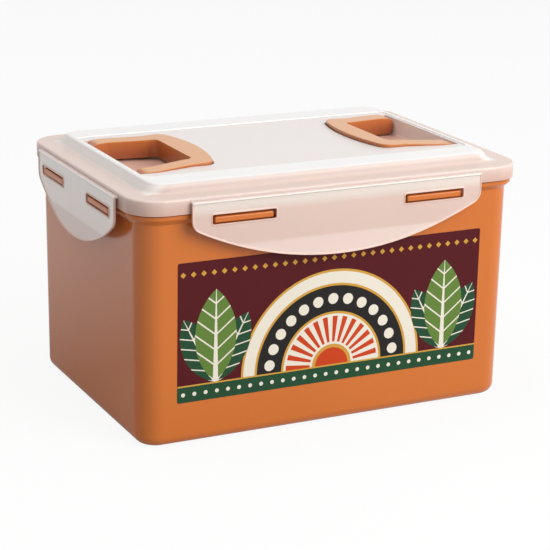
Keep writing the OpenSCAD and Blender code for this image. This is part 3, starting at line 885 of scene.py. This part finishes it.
def make_lid():
    bm = bmesh.new()
    lid_sheet(bm)
    add_plug_wall(bm)
    for opposite in (0, 2):
        add_hinge_strip(bm, LID_Y, LONG_FLAP, opposite)
        add_hinge_strip(bm, LID_X, SHORT_FLAP, opposite + 1)
    for side_x in (-1, 1):
        for side_y in (-1, 1):
            add_boss(bm, side_x, side_y)
    lid = make_piece("lid", bm, "lid", "lid_shell", MILKY_LID, LID_EDGE)
    lid.data.materials.append(MILKY_FILM_SHADE)


make_lid()

# %% [markdown]
# A lock flap hangs from the lid by a thin film and snaps over two lugs with its two slots. Its plate is an
# outline filled round the slots. Two insets give it the raised border that stiffens its edge and its
# slots: a bevelled ridge could be laid on top, but an inset follows every edge by itself. Below a crease
# the belly flares outwards, so that a fingertip finds an edge to pull.

# %% Flap plate
FLAP_DROP = 52.5
FLAP_R = 11
FLAP_WALL = 2
SLOT_MIDDLE = -14
SLOT_HALF_HEIGHT = 3.9
SLOT_GAP = 2.2
SLOT_R = 1.4
BORDER = 1.5
BORDER_RISE = 0.6
BORDER_MATERIAL = 1
CREASE = -36
CREASE_ROUND = 1.2
BELLY_FLARE = 0.12
HINGE_TRIM = 4


def flap_plate(bm, length, bow, lug_spread, lug_length):
    """The bordered plate, drawn past the hinge line and trimmed there, so that the hinge has no border."""
    half = length / 2
    edges = bowed_outline(bm, half, FLAP_DROP, bow, FLAP_R, [(-half, HINGE_TRIM), (half, HINGE_TRIM)])
    for side in (-1, 1):
        slot = rounded_loop(bm, lug_length / 2 + SLOT_GAP, SLOT_HALF_HEIGHT, SLOT_R, 0)
        middle = (side * lug_spread, SLOT_MIDDLE, 0)
        bmesh.ops.translate(bm, vec=middle, verts=list({v for e in slot for v in e.verts}))
        edges += slot
    bmesh.ops.triangle_fill(bm, edges=edges, use_beauty=True, normal=(0, 0, 1))
    plate = bm.faces[:]
    for depth in (0, -BORDER_RISE):
        rim = bmesh.ops.inset_region(
            bm, faces=plate, use_boundary=True, use_even_offset=True, thickness=BORDER / 2, depth=depth
        )
        # The border faces take the painted edge highlight.
        for face in rim["faces"]:
            face.material_index = BORDER_MATERIAL
    cut_across(bm, 0, clear=True)


def add_flat_back(bm):
    """Closes the plate with side walls and a flat inner face."""
    made = bmesh.ops.extrude_face_region(bm, geom=bm.faces[:])["geom"]
    inner = [item for item in made if isinstance(item, bmesh.types.BMVert)]
    bmesh.ops.scale(bm, vec=(1, 1, 0), verts=inner)
    bmesh.ops.translate(bm, vec=(0, 0, -FLAP_WALL / 2), verts=inner)


def bend_flap(bm):
    """Cuts rows across the plate at the crease and flares it below them."""
    for row in (CREASE + CREASE_ROUND, CREASE, CREASE - CREASE_ROUND):
        cut_across(bm, row)
    for vert in bm.verts:
        below = CREASE - vert.co.y
        if abs(below) < CREASE_ROUND:
            below = (below + CREASE_ROUND) ** 2 / (4 * CREASE_ROUND)
        vert.co.z += BELLY_FLARE * max(0, below)


print(f"a flap drops {FLAP_DROP} and flares below {-CREASE}")

# %% [markdown]
# A round bead ends each plate at its hinge. It is a small step thicker and shorter than the plate, because
# shells that share points would be merged there and lose their soft edges. The four flaps differ only in
# length, bow and slots, so one function draws each of them flat, stands it up and turns it to its side.

# %% Lock flaps
LONG_BOW = 32
SHORT_BOW = 31
SHELL_STEP = 0.2
BEAD_R = FLAP_WALL / 2 + SHELL_STEP / 4
BEAD_STEPS = 20
FLAP_EDGE = 0.35


def make_flap(name, half, quarter_turns, length, bow, lugs):
    bm = bmesh.new()
    flap_plate(bm, length, bow, *lugs)
    bmesh.ops.translate(bm, vec=(0, 0, FLAP_WALL / 2), verts=bm.verts)
    add_flat_back(bm)
    bend_flap(bm)
    add_rod(bm, BEAD_R, length - 2 * SHELL_STEP, BEAD_STEPS, turned(90, "Y"))
    hinge = Matrix.Translation((0, -half - HINGE_OUT, HINGE_Z))
    place = turned(90 * quarter_turns, "Z") @ hinge @ turned(90, "X")
    bmesh.ops.transform(bm, matrix=place, verts=bm.verts)
    plate = make_piece(name + "_plate", bm, name, name, MILKY_FLAP, FLAP_EDGE)
    plate.data.materials.append(MILKY_EDGE_HIGHLIGHT)


make_flap("front_flap", LID_Y, 0, LONG_FLAP, LONG_BOW, LONG_LUGS)
make_flap("right_flap", LID_X, 1, SHORT_FLAP, SHORT_BOW, SHORT_LUGS)
make_flap("back_flap", LID_Y, 2, LONG_FLAP, LONG_BOW, LONG_LUGS)
make_flap("left_flap", LID_X, 3, SHORT_FLAP, SHORT_BOW, SHORT_LUGS)

# %% [markdown]
# Each carry handle is a U that lies in its pocket. A section could be swept along the U, but its top is
# broad and its inner edge deep, and the arms splay towards the knuckles. So the top is a filled outline
# with a wall, and a deeper skirt runs round the finger opening, so that the hand feels a broad edge. Both
# are drawn flat, with the knuckle end at the origin.

# %% Handle top and skirt
ARM_WIDTH = 16
BAR_WIDTH = 20
HANDLE_TOP = 3
HANDLE_DEPTH = 15
SKIRT = 2.4
OPENING_R = 6
OPENING_STEPS = 6
SAME_POINT = 0.01
PAST_AXIS = 1
ARM_END = PAST_AXIS - KNUCKLE_R
KNEE = HANDLE_LENGTH - KNEE_TO_BAR
OPENING_DEPTH = HANDLE_LENGTH - BAR_WIDTH


def opening_side(grow, end):
    """One side of the finger opening, from the knuckle to the bar, grown by a margin."""
    arm = ARM_HALF - ARM_WIDTH + grow
    bar_side = BAR_HALF - ARM_WIDTH + grow
    return [(arm, end), (arm, -2 * KNUCKLE_R), (bar_side, -KNEE), (bar_side, -OPENING_DEPTH - grow)]


def round_corners(bm, points, radius):
    """Rounds the corners that lie at the given points."""
    verts = [v for v in bm.verts if any((v.co.xy - Vector(p)).length < SAME_POINT for p in points)]
    bmesh.ops.bevel(
        bm, geom=verts, offset=radius, offset_type="ABSOLUTE", segments=OPENING_STEPS, profile=0.5,
        affect="VERTICES", material=-1,
    )


def handle_top(bm):
    """The broad U on top."""
    outer = [(ARM_HALF, ARM_END), (ARM_HALF, -2 * KNUCKLE_R), (BAR_HALF, -KNEE)]
    inner = opening_side(0, ARM_END)
    near = mirrored(reversed(outer)) + mirrored(inner) + inner[::-1] + outer
    edges = bowed_outline(bm, BAR_HALF, HANDLE_LENGTH, HANDLE_BOW, HANDLE_R, near)
    cap(bm, edges)
    round_corners(bm, [inner[-1]] + mirrored([inner[-1]]), OPENING_R)
    bmesh.ops.triangulate(bm, faces=bm.faces[:], ngon_method="EAR_CLIP")
    bmesh.ops.recalc_face_normals(bm, faces=bm.faces)
    face_up(bm)
    bmesh.ops.solidify(bm, geom=bm.faces[:], thickness=HANDLE_TOP)


def handle_skirt():
    """The wall round the finger opening, as a mesh of its own."""
    bm = bmesh.new()
    side = opening_side(SKIRT - SHELL_STEP, KNUCKLE_R)
    points = side + mirrored(reversed(side))
    bm.faces.new([bm.verts.new((x, y, 0)) for x, y in points])
    round_corners(bm, [side[-1]] + mirrored([side[-1]]), OPENING_R + SKIRT)
    inner = bm.faces[:]
    bmesh.ops.inset_region(bm, faces=inner, use_boundary=True, use_even_offset=True, thickness=SKIRT)
    bmesh.ops.delete(bm, geom=inner, context="FACES")
    cut_across(bm, ARM_END, clear=True)
    face_up(bm)
    bmesh.ops.solidify(bm, geom=bm.faces[:], thickness=HANDLE_DEPTH - HANDLE_TOP / 2)
    bmesh.ops.translate(bm, vec=(0, 0, -HANDLE_TOP / 2), verts=bm.verts)
    return bm


print(f"finger opening {2 * (BAR_HALF - ARM_WIDTH)} wide at the bar")

# %% [markdown]
# Two round knuckles end the arms, with pins that turn in the lid's bosses. The whole handle is tilted a
# little round its pins, so that its bar stands proud of the panel and a finger can catch it. That tilt
# could be left to the joint, but this is how the handle rests, so it belongs in the mesh.

# %% Carry handles
PIN_R = 2.4
KNUCKLE_STEPS = 32
HANDLE_EDGE = 1.1


def add_knuckle(bm, side):
    """The round end of an arm and the pin that it turns on."""
    for reach, radius, length in (
        (ARM_HALF - ARM_WIDTH / 2, KNUCKLE_R, ARM_WIDTH + 3 * SHELL_STEP),
        (ARM_HALF + BOSS_LENGTH / 2, PIN_R, BOSS_LENGTH),
    ):
        axis = Matrix.Translation((side * reach, -KNUCKLE_R, -KNUCKLE_R)) @ turned(90, "Y")
        add_rod(bm, radius, length, KNUCKLE_STEPS, axis)


def join_meshes(bm, other):
    """Copies one bmesh into another and frees it."""
    carrier = bpy.data.meshes.new("carrier")
    other.to_mesh(carrier)
    other.free()
    bm.from_mesh(carrier)
    bpy.data.meshes.remove(carrier)


def make_handle(name, half_turns):
    bm = bmesh.new()
    handle_top(bm)
    join_meshes(bm, handle_skirt())
    for side in (-1, 1):
        add_knuckle(bm, side)
    pivot = Matrix.Translation((PIVOT_X, 0, PIVOT_Z))
    tilt = pivot @ Matrix.Rotation(HANDLE_TILT, 4, "Y") @ pivot.inverted()
    lying = Matrix.Translation((HANDLE_END, 0, TOP_Z)) @ turned(-90, "Z")
    bmesh.ops.transform(bm, matrix=turned(180 * half_turns, "Z") @ tilt @ lying, verts=bm.verts)
    make_piece(name + "_grip", bm, name, name, TAN, HANDLE_EDGE)


make_handle("right_handle", 0)
make_handle("left_handle", 1)

# %% [markdown]
# The label is a printed film on the front wall. It could be painted on the tub itself, but on the real
# crock it is a piece of its own with a faint edge. It leans with the wall and keeps a UV map in its own
# plane, so that a print can be drawn on it in millimetres.

# %% Label film
LABEL_LENGTH = 275
LABEL_HEIGHT = 116
LABEL_LOW = 36
LABEL_FILM = 0.3
LABEL_R = 1.5
LABEL_UV = "label_uv"


def make_label(material):
    bm = bmesh.new()
    cap(bm, rounded_loop(bm, LABEL_LENGTH / 2, LABEL_HEIGHT / 2, LABEL_R, LABEL_FILM))
    bmesh.ops.translate(bm, vec=(0, LABEL_LOW + LABEL_HEIGHT / 2, 0), verts=bm.verts)
    face_up(bm)
    bmesh.ops.solidify(bm, geom=bm.faces[:], thickness=LABEL_FILM)
    print_map = bm.loops.layers.uv.new(LABEL_UV)
    for face in bm.faces:
        for corner in face.loops:
            along, up = corner.vert.co.xy
            corner[print_map].uv = (along / LABEL_LENGTH + 0.5, (up - LABEL_LOW) / LABEL_HEIGHT)
    lean = math.atan(DRAFT / RIM_Z)
    place = Matrix.Translation((0, -(RIM_Y - DRAFT), 0)) @ Matrix.Rotation(math.pi / 2 + lean, 4, "X")
    bmesh.ops.transform(bm, matrix=place, verts=bm.verts)
    make_piece("label", bm, "container", "front_label", material, edge=0)


print(f"label film {LABEL_LENGTH} x {LABEL_HEIGHT}, {LABEL_LOW} above the floor")

# %% [markdown]
# The print could be a picture file, but drawn with nodes on the label's UV map it needs no file and stays
# sharp. Each motif is a mask, one where its ink lies and zero elsewhere, and every ink is laid over the
# ones before it, as a screen printer would do. Leaves recur, so a leaf is a node group: it takes a place,
# a length and a width and puts out the blade and its veins.

# %% Leaf motif
LEAF_VEINS = 6
VEIN_SLANT = 0.8
VEIN_SHARE = 0.12
RIB_SHARE = 0.12
RIB_TIP = 1.1


def distance(tree, across, along):
    """How far a point lies from a middle, from its two offsets."""
    squares = [math_node(tree, "POWER", offset, 2) for offset in (across, along)]
    return math_node(tree, "SQRT", math_node(tree, "ADD", *squares))


def make_leaf_print():
    """A blade between two arcs, with a tapering rib and slanting veins, standing on the origin."""
    group = bpy.data.node_groups.new("leaf_print", "ShaderNodeTree")
    group.interface.new_socket("Place", in_out="INPUT", socket_type="NodeSocketVector")
    for name in ("Length", "Width"):
        group.interface.new_socket(name, in_out="INPUT", socket_type="NodeSocketFloat")
    for name in ("Blade", "Veins"):
        group.interface.new_socket(name, in_out="OUTPUT", socket_type="NodeSocketFloat")
    given = group.nodes.new("NodeGroupInput").outputs
    result = group.nodes.new("NodeGroupOutput").inputs
    place = split_place(group, given["Place"])
    side = math_node(group, "ABSOLUTE", place["X"])
    half = math_node(group, "MULTIPLY", given["Length"], 0.5)
    chord = math_node(group, "DIVIDE", math_node(group, "POWER", half, 2), given["Width"])
    radius = math_node(group, "MULTIPLY", math_node(group, "ADD", chord, given["Width"]), 0.5)
    across = math_node(group, "ADD", side, math_node(group, "SUBTRACT", radius, given["Width"]))
    along = math_node(group, "SUBTRACT", place["Y"], half)
    blade = math_node(group, "LESS_THAN", distance(group, across, along), radius)
    height = math_node(group, "DIVIDE", place["Y"], given["Length"])
    taper = math_node(group, "MULTIPLY", math_node(group, "SUBTRACT", RIB_TIP, height), RIB_SHARE)
    rib = math_node(group, "LESS_THAN", side, math_node(group, "MULTIPLY", taper, given["Width"]))
    slant = math_node(group, "SUBTRACT", place["Y"], math_node(group, "MULTIPLY", side, VEIN_SLANT))
    count = math_node(group, "MULTIPLY", math_node(group, "DIVIDE", slant, given["Length"]), LEAF_VEINS)
    vein = math_node(group, "LESS_THAN", math_node(group, "FRACT", count), VEIN_SHARE)
    lines = math_node(group, "MULTIPLY", blade, math_node(group, "MAXIMUM", rib, vein))
    group.links.new(blade, result["Blade"])
    group.links.new(lines, result["Veins"])
    return group


LEAF_PRINT = make_leaf_print()
print("node group", LEAF_PRINT.name, "with", len(LEAF_PRINT.nodes), "nodes")

# %% [markdown]
# A half sun of rings, rays and dots rises in the middle of the print. Rays and dots stand at even turns.
# Each could be placed by itself, but the turn of a point round the sun's centre can be folded into
# repeats, and one ray or dot drawn in the folded turn then shows all the way round.

# %% Sun motif
INK = {
    "maroon": tint(80, 17, 23), "green": tint(34, 72, 47), "cream": tint(232, 224, 208),
    "gold": tint(205, 154, 64), "orange": tint(198, 66, 28), "charcoal": tint(32, 30, 29),
    "leaf": tint(96, 126, 56),
}
GROUND = 14
SUN_CENTRE = (LABEL_LENGTH / 2, GROUND)
SUN_RINGS = [  # radius and ink, the widest first
    (82, "gold"), (80, "cream"), (70, "gold"), (68, "charcoal"), (46, "gold"), (44, "cream"),
    (18, "gold"), (15, "orange"),
]
RAY_COUNT = 14
RAY_ENDS = (20, 42)
SUN_DOT_COUNT = 13
SUN_DOT_RING = 57
SUN_DOT_R = 4.6


def repeated(tree, value, step):
    """How far a value lies from the middle of its repeat."""
    share = math_node(tree, "FRACT", math_node(tree, "DIVIDE", value, step))
    return math_node(tree, "MULTIPLY", math_node(tree, "SUBTRACT", share, 0.5), step)


def sun_rays(tree, reach, turn):
    near, far = RAY_ENDS
    ray = math_node(tree, "GREATER_THAN", repeated(tree, turn, math.pi / RAY_COUNT), 0)
    beyond = math_node(tree, "GREATER_THAN", reach, near)
    within = math_node(tree, "LESS_THAN", reach, far)
    return math_node(tree, "MULTIPLY", ray, math_node(tree, "MULTIPLY", beyond, within))


def sun_dots(tree, reach, turn):
    sideways = math_node(tree, "MULTIPLY", repeated(tree, turn, math.pi / SUN_DOT_COUNT), SUN_DOT_RING)
    outwards = math_node(tree, "SUBTRACT", reach, SUN_DOT_RING)
    return math_node(tree, "LESS_THAN", distance(tree, sideways, outwards), SUN_DOT_R)


def draw_sun(tree, along, up, under):
    across = math_node(tree, "SUBTRACT", along, SUN_CENTRE[0])
    rise = math_node(tree, "SUBTRACT", up, SUN_CENTRE[1])
    reach = distance(tree, across, rise)
    turn = math_node(tree, "ARCTAN2", rise, across)
    for radius, ink in SUN_RINGS:
        under = blend(tree, math_node(tree, "LESS_THAN", reach, radius), under, INK[ink])
    under = blend(tree, sun_rays(tree, reach, turn), under, INK["orange"])
    return blend(tree, sun_dots(tree, reach, turn), under, INK["cream"])


print("sun:", len(SUN_RINGS), "rings,", RAY_COUNT, "rays and", SUN_DOT_COUNT, "dots")

# %% [markdown]
# Round the sun lies a maroon field. A spray of three broad cabbage leaves stands at either side of it, a
# row of small diamonds runs above, and a green band with dots closes the foot. A Mapping node could scale
# every motif by itself, but one that turns the whole UV map into millimetres lets them share one ruler.

# %% Label print
FOOT_BAND = 13
FOOT_LINE = 1.3
FOOT_DOT_COUNT = 28
FOOT_DOT_R = 1.7
DIAMOND_COUNT = 31
DIAMOND_HEIGHT = 106
DIAMOND_HALF = 2.4
LEAF_INSET = 33
LEAF_FEET = [(LEAF_INSET, GROUND), (LABEL_LENGTH - LEAF_INSET, GROUND)]
LEAVES = [  # turn, length, half width and ink
    (27, 62, 14, "green"), (-27, 62, 14, "green"), (0, 78, 18, "leaf"),
]


def draw_leaves(tree, place, foot, under):
    for turn, length, width, ink in LEAVES:
        stand = tree.nodes.new("ShaderNodeMapping")
        stand.vector_type = "TEXTURE"
        stand.inputs["Location"].default_value = (*foot, 0)
        stand.inputs["Rotation"].default_value = (0, 0, math.radians(turn))
        tree.links.new(place, stand.inputs["Vector"])
        leaf = tree.nodes.new("ShaderNodeGroup")
        leaf.node_tree = LEAF_PRINT
        leaf.inputs["Length"].default_value = length
        leaf.inputs["Width"].default_value = width
        tree.links.new(stand.outputs[0], leaf.inputs["Place"])
        under = blend(tree, leaf.outputs["Blade"], under, INK[ink])
        under = blend(tree, leaf.outputs["Veins"], under, INK["cream"])
    return under


def draw_diamonds(tree, along, up, under):
    sideways = math_node(tree, "ABSOLUTE", repeated(tree, along, LABEL_LENGTH / DIAMOND_COUNT))
    upwards = math_node(tree, "ABSOLUTE", math_node(tree, "SUBTRACT", up, DIAMOND_HEIGHT))
    mask = math_node(tree, "LESS_THAN", math_node(tree, "ADD", sideways, upwards), DIAMOND_HALF)
    return blend(tree, mask, under, INK["gold"])


def draw_foot(tree, along, up, under):
    under = blend(tree, math_node(tree, "LESS_THAN", up, FOOT_BAND + FOOT_LINE), under, INK["gold"])
    under = blend(tree, math_node(tree, "LESS_THAN", up, FOOT_BAND), under, INK["green"])
    sideways = repeated(tree, along, LABEL_LENGTH / FOOT_DOT_COUNT)
    upwards = math_node(tree, "SUBTRACT", up, FOOT_BAND / 2)
    dot = math_node(tree, "LESS_THAN", distance(tree, sideways, upwards), FOOT_DOT_R)
    return blend(tree, dot, under, INK["cream"])


def label_print(tree):
    spread = tree.nodes.new("ShaderNodeUVMap")
    spread.uv_map = LABEL_UV
    ruler = tree.nodes.new("ShaderNodeMapping")
    ruler.inputs["Scale"].default_value = (LABEL_LENGTH, LABEL_HEIGHT, 1)
    tree.links.new(spread.outputs[0], ruler.inputs["Vector"])
    place = ruler.outputs[0]
    parts = split_place(tree, place)
    along, up = parts["X"], parts["Y"]
    under = draw_diamonds(tree, along, up, INK["maroon"])
    under = draw_sun(tree, along, up, under)
    for foot in LEAF_FEET:
        under = draw_leaves(tree, place, foot, under)
    return draw_foot(tree, along, up, under)


LABEL_PRINT = plastic(
    "label_film", label_print, drift=0.1, grain=1500, bump=0.05, roughness=0.4, Specular_IOR_Level=0.15
)
make_label(LABEL_PRINT)

# %% [markdown]
# The pieces inside the crock already have the right shape in the frame: the gasket, the press plate with
# its wiper seal, the folding grip and the vent plug. They could be drawn again, but that would only repeat
# the construction model. So their meshes are copied, merged, freed of needless edges and given soft
# moulded ones.

# %% Inner pieces
FLAT_ANGLE = math.radians(1)
INNER_PIECES = [  # node, body, slot, material and soft edge
    ("lid_gasket", "lid", "silicone", SILICONE, 0.5),
    ("press_plate", "press_plate", "terracotta_plastic", PLATE_PLASTIC, 0.6),
    ("wiper_seal", "press_plate", "silicone", SILICONE, 1.0),
    ("plate_grip", "plate_grip", "tan_plastic", TAN, 1.2),
    ("vent_plug", "vent_plug", "silicone", SILICONE, 0.8),
]


def softened_copy(node, body, slot, material, edge):
    bm = bmesh.new()
    bm.from_mesh(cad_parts[node].data)
    bmesh.ops.scale(bm, vec=(1 / MM, 1 / MM, 1 / MM), verts=bm.verts)
    bmesh.ops.remove_doubles(bm, verts=bm.verts, dist=MERGE)
    bmesh.ops.dissolve_limit(bm, angle_limit=FLAT_ANGLE, verts=bm.verts, edges=bm.edges)
    make_piece(node + "_moulded", bm, body, node, material, edge)


for inner_piece in INNER_PIECES:
    softened_copy(*inner_piece)
